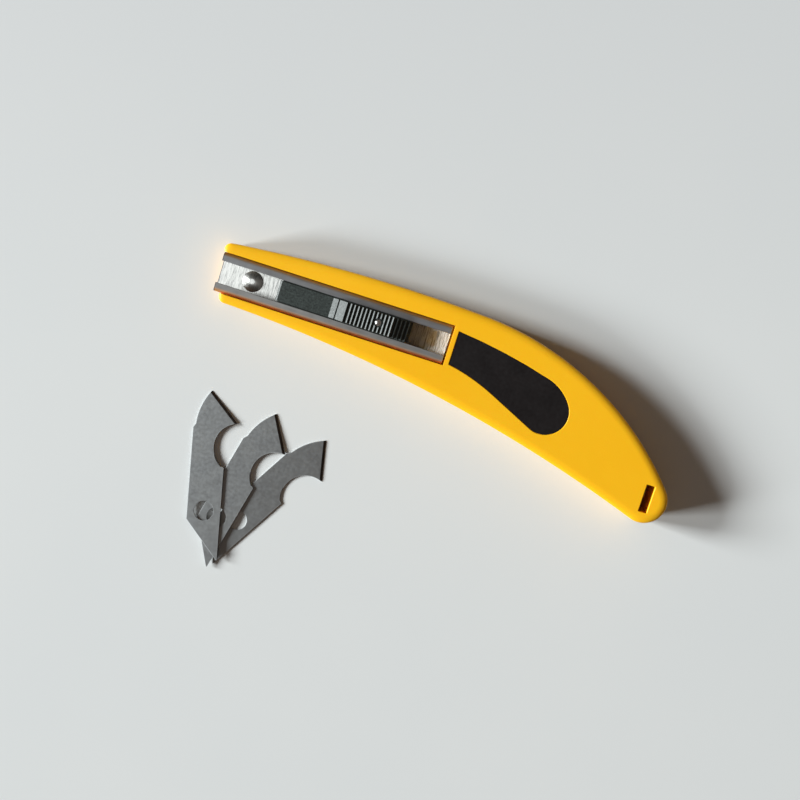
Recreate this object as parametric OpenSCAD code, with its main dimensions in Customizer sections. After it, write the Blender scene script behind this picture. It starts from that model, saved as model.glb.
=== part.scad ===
// Hook-blade utility knife: a curved two-piece handle with a steel blade channel let into its face,
// a ribbed thumb slider that clamps the blade, and three loose hook blades laid beside it.
// +X runs along the blade channel towards the tail, +Y towards the humped spine, +Z out of the face.
// The origin lies under the blade boss, on the plane that the handle rests on.

/* [Handle] */
// Thickness of the handle, from its back to its face
body_t = 13.5; // [13:0.1:18]
// Height of the parting face above the back, which is also the channel's bed
parting_z = 7; // [6:0.1:7.5]
// Width of the rounding along the face's edge
face_round = 3; // [1.8:0.1:3.5]
// Height of the rounding along the face's edge
face_round_h = 1.1; // [0.6:0.1:1.8]
// Width of the rounding along the back's edge
back_round = 2.2; // [1.6:0.1:3]
// Height of the rounding along the back's edge
back_round_h = 1.2; // [0.6:0.1:1.8]
// Taper of the sides from the parting face to each rounding
side_taper = 0.2; // [0.1:0.05:0.4]
// Wall round the hollow of the handle
wall = 2.6; // [2:0.1:3.5]
// Thickness of the back and of the face over the hollow
skin = 2; // [1.5:0.1:2.3]
// Where the nose's front face crosses the channel's centre line, ahead of the boss
nose_x = -10.3; // [-12:0.1:-8]
// Slant of the nose's front face
nose_slant = 10; // [0:1:12]
// Corner radius of the nose, seen from above
nose_corner_r = 2.2; // [1:0.1:3]
// Share of the edges' rounding that the nose's front face keeps
nose_share = 0.5; // [0.3:0.05:1]
// Distance of the spine's highest point behind the boss
spine_peak_x = 51.5; // [45:0.5:60]
// Height of the spine above the channel's centre line
spine_peak_y = 14; // [13.5:0.1:17]
// Radius of the spine's long front arc
spine_r = 555; // [450:5:650]
// Where the front arc meets the rump arc
spine_blend_x = 81.3; // [78:0.1:86]
// Radius of the rump arc
rump_r = 107; // [100:1:115]
// Slope of the rump where it meets the tail
rump_turn = 49.7; // [47:0.1:52]
// Radius of the round tail
tail_r = 8.1; // [7.5:0.1:9.5]
// Radius of the hollow belly arc
belly_r = 524; // [480:1:600]
// Slope of the belly where it meets the tail
belly_turn = 18.6; // [18:0.1:19]

/* [Lanyard slot] */
// Width of the lanyard slot along the channel's direction
slot_w = 3; // [2:0.1:3.5]
// Length of the lanyard slot across it
slot_l = 9.6; // [6:0.1:10]
// Wall of the sleeve round the slot
sleeve_wall = 1.6; // [1.2:0.1:2]

/* [Blade channel] */
// Distance of the front end of the channel's floor ahead of the boss
channel_mouth = 11.8; // [10.5:0.1:13]
// How far the front ends of the lips stand back from it
mouth_lean = 0.5; // [0:0.1:2]
// Length of the channel
channel_l = 82.7; // [80:0.1:90]
// Outside width of the channel
channel_w = 13.8; // [13.6:0.1:14.4]
// Outside height of the channel
channel_h = 5.6; // [5.3:0.1:5.8]
// Thickness of the sheet steel
sheet_t = 0.7; // [0.6:0.05:0.8]
// Outside radius of the channel's folds
fold_r = 1.4; // [1.1:0.1:1.6]
// Opening between the two lips
lip_gap = 7.7; // [7.4:0.1:8.2]
// Radius of the boss that the blade's hole fits over
boss_r = 3.5; // [3:0.1:3.7]
// Height of the boss above the channel's floor
boss_h = 1.1; // [0.9:0.05:1.1]
// Clearance between the channel and its pocket, on each side
pocket_gap = 0.15; // [0.1:0.05:0.3]
// Gap between the channel's rear end and its pocket
pocket_end_gap = 0.7; // [0.3:0.1:1.5]

/* [Slider] */
// Where the slider's front edge stands at rest, behind the boss
slider_rest = 9.5; // [6:0.1:11]
// Length of the slider
slider_l = 48.2; // [46:0.1:48.3]
// Width of the slider between the lips
slider_w = 6.9; // [6.4:0.1:7]
// Clearance between the slider's foot and the channel's walls and lips
foot_gap = 0.15; // [0.1:0.05:0.3]
// Clearance between the slider's underside and the boss
over_boss_gap = 0.3; // [0.3:0.05:0.5]
// Height of the slider's plate above the lips
plate_proud = 0.2; // [0.1:0.05:0.5]
// Length of the flat front of the slider
plate_flat_l = 19.7; // [17:0.1:20.5]
// Run of the plate's rear shoulder
shoulder_run = 2.2; // [1.8:0.1:2.6]
// Run of the thumb grip's front ramp
ramp_run = 3.1; // [2.5:0.1:3.3]
// Slope of the shoulder and of the ramp
ramp_slope = 27; // [20:1:32]
// Joint between the plate's shoulder and the grip
grip_gap = 0.2; // [0.1:0.05:0.3]
// Land between the ramp and the first rib
front_land = 0.8; // [0.6:0.1:1.5]
// Ribs on the flat of the grip
rib_count = 12; // [8:1:14]
// Ribs on the grip's rear slope
rear_rib_count = 4; // [2:1:5]
// Land behind the last rib
rear_land = 0.48; // [0.2:0.02:1]
// Valley between two ribs
rib_valley = 0.32; // [0.2:0.02:0.4]
// Height of a rib
rib_h = 0.5; // [0.3:0.05:0.6]
// Step down from the flat of the grip to its rear slope
rear_step = 0.3; // [0.1:0.05:0.4]
// Height of the grip's rear edge above its seat
rear_edge_h = 0.3; // [0.2:0.05:0.6]

/* [Slider rivet and spring] */
// Number of whole ribs ahead of the rivet
rivet_rib = 8; // [6:1:9]
// Radius of the rivet's dome
rivet_head_r = 1.3; // [1.2:0.1:1.8]
// Radius of the rivet's shank
rivet_r = 0.9; // [0.7:0.05:1]
// Clearance round the rivet's shank
rivet_gap = 0.05; // [0.02:0.01:0.1]
// Width of the leaf spring
spring_w = 6; // [5:0.1:6.5]
// Thickness of the leaf spring
spring_t = 0.4; // [0.3:0.05:0.5]
// Clearance between the spring's pads and the channel's floor
spring_gap = 0.05; // [0.02:0.01:0.1]

/* [Label] */
// Depth of the label's recess
recess_d = 0.45; // [0.3:0.05:0.6]
// Thickness of the label
label_t = 0.3; // [0.2:0.05:0.3]
// Clearance round the label in its recess
label_gap = 0.12; // [0.05:0.01:0.2]
// Web between the channel's pocket and the label's recess
label_web = 1.7; // [1.5:0.1:3]
// Height of the label's front corner above the centre line
label_top_y = 5.7; // [5:0.1:6]
// Radius of the label's long upper edge
label_back_r = 193; // [150:1:240]
// Radius of the turn at its rear end
label_heel_r = 15.6; // [12:0.1:20]
// Radius of its round lower end
label_toe_r = 8; // [6:0.1:9]
// Length of its straight lower edge
label_edge_l = 17.1; // [10:0.1:20]
// Radius of the flare that leads back to its front end
label_flare_r = 69.5; // [50:0.5:90]

/* [Blades] */
// Width of a blade's shank
blade_w = 12.2; // [11.5:0.1:12.2]
// Thickness of a blade
blade_t = 0.6; // [0.5:0.05:0.9]
// Clearance of the blade's hole over the boss
blade_hole_gap = 0.1; // [0.05:0.01:0.2]
// Reach of the hook's point ahead of the blade's hole
blade_reach = 43.4; // [41:0.1:45]
// Length of the shank behind the blade's hole
blade_shank_l = 17.8; // [15:0.1:19]
// Run of the shank's slanted rear end
shank_slant_l = 14.3; // [11:0.1:15]
// Length of the hook's rounded back
hook_l = 12.3; // [11:0.1:14]
// Radius of the hook's rounded back
hook_back_r = 22; // [18:0.5:26]
// Step down from the shank's spine to the hook's back
hook_step = 0.9; // [0.4:0.1:1.2]
// Rise of the hook's point above the blade's centre line
hook_rise = 0.2; // [0:0.1:1]
// Radius of the round notch behind the hook
notch_r = 9.1; // [8.2:0.1:9.3]
// Distance of the notch's centre behind the hook's point
notch_back = 20.1; // [19:0.1:21]
// Drop of the notch's centre below the blade's centre line
notch_drop = 11; // [10.6:0.1:12]
// Height of the square shoulder at the notch's rear end
notch_lip = 1.1; // [0.8:0.1:1.4]
// Width of the ground bevel on the scribing edge
bevel_w = 0.9; // [0.3:0.05:1]

/* [Places of the loose blades' holes] */
// Blade on the left, on top of the others
left_x = 6; // [4:0.1:8]
left_y = -83.8; // [-90:0.1:-80]
// Blade in the middle
mid_x = 11; // [9:0.1:13]
mid_y = -84.7; // [-90:0.1:-80]
// Blade on the right, flat on the table
right_x = 18.3; // [17:0.1:21]
right_y = -83.4; // [-90:0.1:-80]

/* [Fasteners] */
// Distances of the case screws behind the boss: the pair in the arms, then the two in the tail
arm_screw_x = 44; // [40:1:50]
// Wall between the channel's pocket and the arms' screw holes
arm_screw_wall = 0.9; // [0.7:0.1:1.1]
// First screw behind the label's front
mid_screw_x = 96; // [92:1:100]
// Second screw, ahead of the lanyard slot
tail_screw_x = 134; // [130:1:136]
// Radius of a case screw's shank
screw_r = 1.25; // [1:0.05:1.3]
// Radius of a case screw's head
screw_head_r = 2.4; // [2.1:0.1:2.6]
// Height of a case screw's head
screw_head_h = 1.6; // [1.2:0.1:1.8]
// Clearance round a screw's shank
screw_gap = 0.05; // [0.02:0.01:0.1]
// Clearance round a screw's head
screw_head_gap = 0.25; // [0.15:0.05:0.4]
// Length of a case screw under its head
screw_l = 8.2; // [7:0.1:8.5]
// Radius of the alignment pins
pin_r = 0.9; // [0.7:0.05:1]
// Height of the alignment pins
pin_h = 2.5; // [1.5:0.1:3]
// Distance of the channel's screw behind the boss
channel_screw_x = 29; // [26:1:31]

/* [Hidden] */
$fn = 48;
eps = 0.01;     // overcut of a hole past the face that it opens in
cut = 1;        // overcut of a pocket that opens in a curved face
span = 400;     // longer than the handle, for a cut that runs past it

// ---- Outline of the handle: tangent arcs, moved inwards by d ----
// Points on an arc about c from angle a0 to a1, without the last one
function arc(c, r, a0, a1, n) =
    [for (i = [0 : n - 1]) c + r * [cos(a0 + (a1 - a0) * i / n), sin(a0 + (a1 - a0) * i / n)]];
function polar(v) = atan2(v[1], v[0]);

blend_a = asin((spine_blend_x - spine_peak_x) / spine_r);
spine_c = [spine_peak_x, spine_peak_y - spine_r];
rump_c = spine_c + (spine_r - rump_r) * [sin(blend_a), cos(blend_a)];
tail_c = rump_c + (rump_r - tail_r) * [sin(rump_turn), cos(rump_turn)];
belly_c = tail_c - (tail_r + belly_r) * [sin(belly_turn), cos(belly_turn)];
nose_in = [cos(nose_slant), sin(nose_slant)];
nose_up = [-sin(nose_slant), cos(nose_slant)];

// Centre of a nose corner: off the front face by the inset and its radius, and at distance rho from c
function corner_c(off, c, rho) =
    let (p = [nose_x, 0] + off * nose_in, m = p - c, b = m * nose_up)
    p + nose_up * (sqrt(b * b - m * m + rho * rho) - b);
function outline(d) =
    let (r = nose_corner_r,
         front = nose_share * d + r,
         top = corner_c(front, spine_c, spine_r - d - r),
         low = corner_c(front, belly_c, belly_r + d + r),
         top_a = polar(top - spine_c), low_a = polar(low - belly_c))
    concat(arc(top, r, top_a, 180 + nose_slant, 6),
           arc(low, r, 180 + nose_slant, 180 + low_a, 6),
           arc(belly_c, belly_r + d, low_a, 90 - belly_turn, 16),
           arc(tail_c, tail_r - d, -90 - belly_turn, 90 - rump_turn, 16),
           arc(rump_c, rump_r - d, 90 - rump_turn, 90 - blend_a, 18),
           arc(spine_c, spine_r - d, 90 - blend_a, top_a, 12));

// Edges of the handle at x, and the middle between two values
function spine_y(x) = x > spine_blend_x ? rump_c[1] + sqrt(pow(rump_r, 2) - pow(x - rump_c[0], 2))
                                        : spine_c[1] + sqrt(pow(spine_r, 2) - pow(x - spine_c[0], 2));
function belly_y(x) = belly_c[1] + sqrt(pow(belly_r, 2) - pow(x - belly_c[0], 2));
function middle(a, b) = (a + b) / 2;

// A path of arcs [radius, turn] and straight legs [0, length] that meet smoothly
function smooth_path(p, heading, legs, i = 0) =
    i == len(legs) ? [p]
    : legs[i][0] == 0
    ? concat([p], smooth_path(p + legs[i][1] * [cos(heading), sin(heading)], heading, legs, i + 1))
    : let (r = legs[i][0], t = legs[i][1], s = sign(t), a = heading - 90 * s,
           c = p - r * [cos(a), sin(a)])
      concat(arc(c, r, a, a + t, ceil(abs(t) / 9) + 1),
             smooth_path(c + r * [cos(a + t), sin(a + t)], heading + t, legs, i + 1));

// ---- Half of the handle: a stack of outlines up a tapered side and over a quarter ellipse ----
// The stack runs a little past both of its planes along its last facets, and is then cut flat there
ROUND_STEPS = 5;
function beyond(a, b, share) = a + share * (a - b);
function half_rings(z0, z1, w, h, out) =
    let (n = ROUND_STEPS,
         rises = concat([[0, 0]], [for (k = [0 : n]) let (a = 90 * k / n)
                                   [side_taper + w * (1 - cos(a)), z1 - z0 - h + h * sin(a)]]),
         rows = [for (rise = rises) [rise[0], out > 0 ? z0 + rise[1] : z1 - rise[1]]],
         longer = concat([beyond(rows[0], rows[1], 0.3)], [for (k = [1 : n]) rows[k]],
                         [beyond(rows[n + 1], rows[n], 0.4)]))
    [for (k = [0 : n + 1]) longer[out > 0 ? k : n + 1 - k]];
module half_shell(z0, z1, w, h, out) {
    rings = half_rings(z0, z1, w, h, out);
    n = len(outline(0));
    m = len(rings);
    points = [for (ring = rings) each [for (p = outline(ring[0])) [p[0], p[1], ring[1]]]];
    sides = [for (k = [0 : m - 2]) each [for (i = [0 : n - 1])
        let (j = (i + 1) % n, a = k * n + i, b = (k + 1) * n + i, c = (k + 1) * n + j, d = k * n + j)
        each [[a, b, c], [a, c, d]]]];
    low_cap = [for (i = [0 : n - 1]) i];
    high_cap = [for (i = [n - 1 : -1 : 0]) (m - 1) * n + i];
    intersection() {
        polyhedron(points, concat([low_cap, high_cap], sides), convexity = 6);
        translate([-span, -span, z0]) cube([2 * span, 2 * span, z1 - z0]);
    }
}

// ---- Places shared by the shells and what they carry ----
pocket_w = channel_w + 2 * pocket_gap;
pocket_end_x = channel_l - channel_mouth + pocket_end_gap;
label_x = pocket_end_x + label_web;
hollow_x = label_x + wall - label_web;
floor_z = parting_z + sheet_t;
lip_z = parting_z + channel_h;
screw_boss_r = screw_r + 1.9;
arm_screw_y = pocket_w / 2 + arm_screw_wall + screw_r + screw_gap;
case_screw_spots = concat(
    [for (side = [1, -1]) [arm_screw_x, side * arm_screw_y]],
    [for (x = [mid_screw_x, tail_screw_x]) [x, middle(spine_y(x), belly_y(x))]]);
pin_xs = [2, 62];
pin_spots = [for (x = pin_xs) each [for (side = [1, -1]) [x, arm_middle(x, side)]]];
slot_c = tail_c + [0.5, 0.7];
function arm_middle(x, side) = middle(side * pocket_w / 2, side > 0 ? spine_y(x) : belly_y(x));

module at_each(spots) {
    for (p = spots) translate([p[0], p[1], 0]) children();
}
module upright_box(x0, x1, w, z0, z1) {
    translate([x0, -w / 2, z0]) cube([x1 - x0, w, z1 - z0]);
}
// The hollow of the handle behind the channel, seen from above, round its screw bosses and sleeve
module hollow_shape() {
    difference() {
        intersection() {
            polygon(outline(wall));
            translate([hollow_x, -span]) square(2 * span);
        }
        for (p = case_screw_spots) translate(p) circle(screw_boss_r);
        translate(slot_c) square([slot_w + 2 * sleeve_wall, slot_l + 2 * sleeve_wall], center = true);
    }
}
module lanyard_slot() {
    translate([slot_c[0] - slot_w / 2, slot_c[1] - slot_l / 2, -cut])
        cube([slot_w, slot_l, body_t + 2 * cut]);
}
function label_outline(d) =
    smooth_path([label_x, label_top_y - d], -5.1,
                [[label_back_r - d, -10.3], [label_heel_r - d, -40.8], [label_toe_r - d, -148.3],
                 [0, label_edge_l], [label_flare_r + d, 15]]);
module label_shape(d) {
    intersection() {
        polygon(label_outline(d));
        translate([label_x + d, -span]) square(2 * span);
    }
}

// ---- Handle ----
module upper_shell() {
    color([0.95, 0.72, 0.12]) difference() {
        half_shell(parting_z, body_t, face_round, face_round_h, 1);
        upright_box(-50, pocket_end_x, pocket_w, parting_z - cut, body_t + cut);
        translate([0, 0, body_t - recess_d]) linear_extrude(recess_d + cut) label_shape(0);
        translate([0, 0, parting_z - cut]) linear_extrude(body_t - parting_z - skin + cut) hollow_shape();
        lanyard_slot();
        at_each(case_screw_spots) translate([0, 0, parting_z - cut])
            cylinder(r = screw_r + screw_gap, h = screw_tip_z - parting_z + cut + 0.4);
        at_each(pin_spots) translate([0, 0, parting_z - cut])
            cylinder(r = pin_r + screw_gap, h = pin_h + 0.3 + cut);
    }
}
screw_seat_z = 2.2;                     // depth of a case screw's counterbore
screw_tip_z = screw_seat_z + screw_l;
bed_pocket_w = channel_w - 3.4;
bed_rib_t = 1.6;
bed_pocket_l = 11.2;
bed_front_x = -4;
bed_pocket_n = 6;
module bed_pockets() {
    difference() {
        for (i = [0 : bed_pocket_n - 1])
            let (x = bed_front_x + i * (bed_pocket_l + bed_rib_t))
            upright_box(x, x + bed_pocket_l, bed_pocket_w, skin, parting_z + cut);
        translate([channel_screw_x, 0, 0]) cylinder(r = screw_boss_r, h = parting_z + cut);
    }
}
module lower_shell() {
    color([0.95, 0.72, 0.12]) {
        difference() {
            half_shell(0, parting_z, back_round, back_round_h, -1);
            translate([0, 0, skin]) linear_extrude(parting_z - skin + cut) hollow_shape();
            bed_pockets();
            lanyard_slot();
            at_each(case_screw_spots) {
                translate([0, 0, -cut]) cylinder(r = screw_r + screw_gap, h = parting_z + 2 * cut);
                translate([0, 0, -cut])
                    cylinder(r = screw_head_r + screw_head_gap, h = screw_seat_z + cut);
            }
            translate([channel_screw_x, 0, skin])
                cylinder(r = channel_screw_r + screw_gap, h = parting_z - skin + cut);
        }
        at_each(pin_spots) translate([0, 0, parting_z]) cylinder(r = pin_r, h = pin_h);
    }
}

// ---- Blade channel: a folded C of sheet steel with the blade's boss pressed up from its floor ----
module rounded_rect(w, h, r) {
    translate([r, 0]) square([w - 2 * r, h]);
    translate([0, r]) square([w, h - 2 * r]);
    for (x = [r, w - r], y = [r, h - r]) translate([x, y]) circle(r);
}
module channel_section() {
    inner_r = fold_r - sheet_t;
    difference() {
        translate([-channel_w / 2, 0]) rounded_rect(channel_w, channel_h, fold_r);
        translate([sheet_t - channel_w / 2, sheet_t])
            rounded_rect(channel_w - 2 * sheet_t, channel_h - 2 * sheet_t, inner_r);
        translate([-lip_gap / 2, channel_h / 2]) square([lip_gap, channel_h]);
    }
}
boss_wall_h = 0.3;                      // height of the boss's upright wall, under its low dome
boss_dome_r = (pow(boss_r, 2) + pow(boss_h - boss_wall_h, 2)) / (2 * (boss_h - boss_wall_h));
module blade_boss() {
    rotate_extrude() polygon(concat(
        [[0, -eps], [boss_r, -eps]],
        [for (i = [0 : 5])
            let (a = asin(boss_r / boss_dome_r) * (1 - i / 5))
            [boss_dome_r * sin(a), boss_h - boss_dome_r * (1 - cos(a))]]));
}
// The hollow under the boss, which is pressed up from the sheet
module boss_hollow() {
    translate([0, 0, parting_z]) rotate_extrude()
        polygon([[0, -cut], [boss_r - sheet_t, -cut], [boss_r - sheet_t, 0.2],
                 [boss_r - 3 * sheet_t, boss_h], [0, boss_h]]);
}
// The channel's front end leans back from the floor to the lips
module mouth_cut() {
    slope = mouth_lean / channel_h;
    translate([-channel_mouth, channel_w, parting_z]) rotate([90, 0, 0]) linear_extrude(2 * channel_w)
        polygon([[-cut - slope * cut, -cut], [-slope * cut, -cut],
                 [slope * (channel_h + cut), channel_h + cut], [-cut - slope * cut, channel_h + cut]]);
}
channel_screw_r = 1.2;
channel_screw_head_r = 2.1;
channel_screw_l = 4.6;
module channel_screw_cone(gap) {
    translate([0, 0, parting_z])
        cylinder(r1 = channel_screw_r + gap, r2 = channel_screw_head_r + gap, h = sheet_t);
}
module blade_channel() {
    color([0.72, 0.73, 0.74]) difference() {
        union() {
            translate([-channel_mouth, 0, parting_z]) rotate([90, 0, 90])
                linear_extrude(channel_l) channel_section();
            translate([0, 0, floor_z]) blade_boss();
        }
        boss_hollow();
        mouth_cut();
        translate([channel_screw_x, 0, 0]) {
            channel_screw_cone(screw_gap);
            translate([0, 0, parting_z - cut]) cylinder(r = channel_screw_r + screw_gap, h = cut + eps);
            translate([0, 0, floor_z - eps])
                cylinder(r = channel_screw_head_r + screw_gap, h = cut);
        }
    }
}
module channel_screw() {
    color([0.6, 0.61, 0.62]) translate([channel_screw_x, 0, 0]) difference() {
        union() {
            channel_screw_cone(0);
            translate([0, 0, parting_z - channel_screw_l + sheet_t])
                cylinder(r = channel_screw_r, h = channel_screw_l - sheet_t);
        }
        cross_recess(floor_z, 0.45, -1);
    }
}
// A cross-shaped driver recess that opens at height z, cut downwards (-1) or upwards (1)
module cross_recess(z, depth, way) {
    arm_l = 2.4;
    arm_w = 0.5;
    for (a = [0, 90]) rotate(a)
        translate([-arm_l / 2, -arm_w / 2, way > 0 ? z - cut : z - depth])
            cube([arm_l, arm_w, depth + cut]);
}
module case_screws() {
    color([0.6, 0.61, 0.62]) at_each(case_screw_spots) difference() {
        union() {
            translate([0, 0, screw_seat_z - screw_head_h]) cylinder(r = screw_head_r, h = screw_head_h);
            translate([0, 0, screw_seat_z]) cylinder(r = screw_r, h = screw_l);
        }
        cross_recess(screw_seat_z - screw_head_h, 0.7, 1);
    }
}
module label() {
    color([0.08, 0.08, 0.08]) translate([0, 0, body_t - recess_d])
        linear_extrude(label_t) label_shape(label_gap);
}

// ---- Slider: a plate under the lips, a ribbed grip, a leaf spring and the rivet through them ----
slider_floor_z = floor_z + boss_h + over_boss_gap;
plate_top_z = lip_z + plate_proud;
foot_top_z = lip_z - sheet_t - foot_gap;
foot_w = channel_w - 2 * sheet_t - 2 * foot_gap;
shoulder_s = plate_flat_l + shoulder_run;
shoulder_z = plate_top_z + shoulder_run * tan(ramp_slope);
grip_seat_z = plate_top_z - 0.8;
grip_s = shoulder_s + grip_gap;
grip_flat_z = shoulder_z + ramp_run * tan(ramp_slope) - rib_h;
ribs_s = grip_s + ramp_run + front_land;
rib_pitch = (slider_l - rear_land - ribs_s) / (rib_count + rear_rib_count);
rear_s = ribs_s + rib_count * rib_pitch;
rivet_s = ribs_s + rivet_rib * rib_pitch;
front_lean = 0.9;                       // lean of the slider's front face
foot_inset = 1.2;                       // how far the foot's ends stand back from the slider's ends
spring_seat_z = slider_floor_z + 1.1;   // ceiling of the spring's recess
module side_profile(w) {
    // Draws a shape of (distance behind the slider's front edge, height), w wide across the channel
    translate([slider_rest, w / 2, 0]) rotate([90, 0, 0]) linear_extrude(w) children();
}
module rivet_hole(r) {
    translate([slider_rest + rivet_s, 0, 0]) cylinder(r = r, h = grip_flat_z + 2 * cut);
}
// The foot's section: its upper edges are bevelled to clear the inside of the channel's folds
module foot_section() {
    half = foot_w / 2;
    bevel = fold_r - sheet_t;
    polygon([[-half, slider_floor_z], [half, slider_floor_z], [half, foot_top_z - bevel],
             [half - bevel, foot_top_z], [bevel - half, foot_top_z], [-half, foot_top_z - bevel]]);
}
module slider_plate() {
    color([0.13, 0.14, 0.14]) difference() {
        union() {
            side_profile(slider_w)
                polygon([[0, slider_floor_z], [front_lean, plate_top_z], [plate_flat_l, plate_top_z],
                         [shoulder_s, shoulder_z], [shoulder_s, grip_seat_z],
                         [slider_l - 0.4, grip_seat_z], [slider_l - 0.4, slider_floor_z]]);
            translate([slider_rest + foot_inset, 0, 0]) rotate([90, 0, 90])
                linear_extrude(slider_l - 2 * foot_inset) foot_section();
        }
        upright_box(slider_rest + spring_tip_s - 0.6, slider_rest + spring_tail_s + 0.6,
                    spring_w + 2 * foot_gap, slider_floor_z - cut, spring_seat_z);
        rivet_hole(rivet_r + rivet_gap);
    }
}
rib_profile = [[0, 0], [0.2, 0.44], [0.6, 1], [0.7, 1], [1, 0]];    // shares of the rib's base and height
rib_l = rib_pitch - rib_valley;                          // length of a rib's base along the slider
rear_z = grip_flat_z - rear_step;
rear_end_z = grip_seat_z + rear_edge_h;
rear_fall = (rear_z - rear_end_z) / (slider_l - rear_s);
function rib_points(s, z, fall) =
    [for (p = rib_profile) [s + p[0] * rib_l, z + p[1] * rib_h - p[0] * rib_l * fall]];
module thumb_grip() {
    color([0.1, 0.1, 0.1]) difference() {
        side_profile(slider_w)
            polygon(concat(
                [[grip_s, grip_seat_z], [grip_s, shoulder_z], [grip_s + ramp_run, grip_flat_z + rib_h],
                 [grip_s + ramp_run + 0.15, grip_flat_z]],
                [for (i = [0 : rib_count - 1]) each rib_points(ribs_s + i * rib_pitch, grip_flat_z, 0)],
                [for (i = [0 : rear_rib_count - 1])
                    let (run = i * rib_pitch)
                    each rib_points(rear_s + run, rear_z - run * rear_fall, rear_fall)],
                [[slider_l, rear_end_z], [slider_l, grip_seat_z]]));
        rivet_hole(rivet_r + rivet_gap);
        translate([slider_rest + rivet_s, 0, grip_flat_z])
            cylinder(r = rivet_head_r + 0.25, h = rib_h + cut);
    }
}
rivet_head_h = 0.85;
module slider_rivet() {
    sphere_r = (pow(rivet_head_r, 2) + pow(rivet_head_h, 2)) / (2 * rivet_head_h);
    color([0.8, 0.81, 0.82]) translate([slider_rest + rivet_s, 0, 0]) rotate_extrude()
        polygon(concat(
            [[0, spring_seat_z - spring_t - 0.4], [rivet_head_r - 0.2, spring_seat_z - spring_t - 0.4],
             [rivet_head_r - 0.2, spring_seat_z - spring_t], [rivet_r, spring_seat_z - spring_t],
             [rivet_r, grip_flat_z]],
            [for (i = [0 : 6])
                let (a = asin(rivet_head_r / sphere_r) * (1 - i / 6))
                [sphere_r * sin(a), grip_flat_z + rivet_head_h - sphere_r * (1 - cos(a))]]));
}
// The spring's pads stand this far behind the slider's front edge, and its tips just beyond them
spring_tip_s = plate_flat_l - 2.5;
spring_tail_s = slider_l - 1.8;
pad_run = 1.1;                          // half the length of a pad
pad_z = floor_z + spring_gap;
land_half = 3;                          // half the length of the spring's flat land at the rivet
land_z = spring_seat_z - spring_t;
spring_line = [
    [spring_tip_s, pad_z + 0.6], [spring_tip_s + pad_run, pad_z + 0.08],
    [spring_tip_s + 2 * pad_run, pad_z], [spring_tip_s + 3 * pad_run, pad_z + 0.1],
    [rivet_s - land_half, land_z], [rivet_s + land_half, land_z],
    [spring_tail_s - 3 * pad_run, pad_z + 0.3], [spring_tail_s - 2 * pad_run, pad_z],
    [spring_tail_s - pad_run, pad_z + 0.08], [spring_tail_s, pad_z + 0.6]];
module slider_spring() {
    n = len(spring_line);
    color([0.66, 0.67, 0.68]) difference() {
        side_profile(spring_w)
            polygon(concat(spring_line,
                           [for (i = [n - 1 : -1 : 0]) spring_line[i] + [0, spring_t]]));
        rivet_hole(rivet_r + rivet_gap);
    }
}

// ---- Loose hook blades ----
blade_hole_r = boss_r + blade_hole_gap;
blade_top = blade_w / 2;
spine_end_x = blade_reach - hook_l;     // where the shank's straight spine gives way to the hook's back
notch_c = [blade_reach - notch_back, -notch_drop];
heel_a = 7;                             // bearing of the scribing edge's heel from the notch's centre
hook_heel = notch_c + notch_r * [cos(heel_a), sin(heel_a)];
hook_point = [blade_reach, hook_rise];
notch_shoulder_y = notch_lip - blade_top;
shoulder_a = 180 - asin((notch_shoulder_y - notch_c[1]) / notch_r);
function blade_outline() =
    concat([[shank_slant_l - blade_shank_l, blade_top], [spine_end_x - 1.5 * hook_step, blade_top]],
           smooth_path([spine_end_x, blade_top - hook_step], -4.6, [[hook_back_r, -35]]),
           [hook_point],
           arc(notch_c, notch_r, heel_a, shoulder_a, 20),
           [notch_c + notch_r * [cos(shoulder_a), sin(shoulder_a)],
            [notch_c[0] + notch_r * cos(shoulder_a) - 0.4, -blade_top], [-blade_shank_l, -blade_top]]);
module hook_blade() {
    edge = hook_heel - hook_point;
    color([0.5, 0.53, 0.56]) difference() {
        linear_extrude(blade_t) difference() {
            polygon(blade_outline());
            circle(blade_hole_r);
        }
        translate([hook_point[0], hook_point[1], 0]) rotate(polar(edge)) rotate([90, 0, 90])
            translate([0, 0, -1]) linear_extrude(norm(edge) + 2)
                polygon([[-bevel_w, blade_t + eps], [0.2, blade_t + eps], [0.2, 0.1], [0, 0.1]]);
    }
}
// Each loose blade: the place and height of its hole, then the two tilts and the heading at which it lies.
// The tilts grow with the thickness of the blades below, for their width.
blade_lift = blade_t / blade_w;
blade_spots = [[left_x, left_y, 1.834 * blade_t], [mid_x, mid_y, 1.068 * blade_t], [right_x, right_y, 0]];
blade_turns = [[-41.4 * blade_lift, 29.2 * blade_lift, 102.9],
               [-46.9 * blade_lift, 15 * blade_lift, 76.9], [0, 0, 59.2]];
module laid_blade(i) {
    translate(blade_spots[i]) rotate(blade_turns[i]) hook_blade();
}
module hook_blade_1() { laid_blade(0); }
module hook_blade_2() { laid_blade(1); }
module hook_blade_3() { laid_blade(2); }

upper_shell();
lower_shell();
blade_channel();
channel_screw();
case_screws();
label();
slider_plate();
thumb_grip();
slider_spring();
slider_rivet();
hook_blade_1();
hook_blade_2();
hook_blade_3();
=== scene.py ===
import math

import bmesh
import bpy
from mathutils import Matrix, Vector


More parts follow.
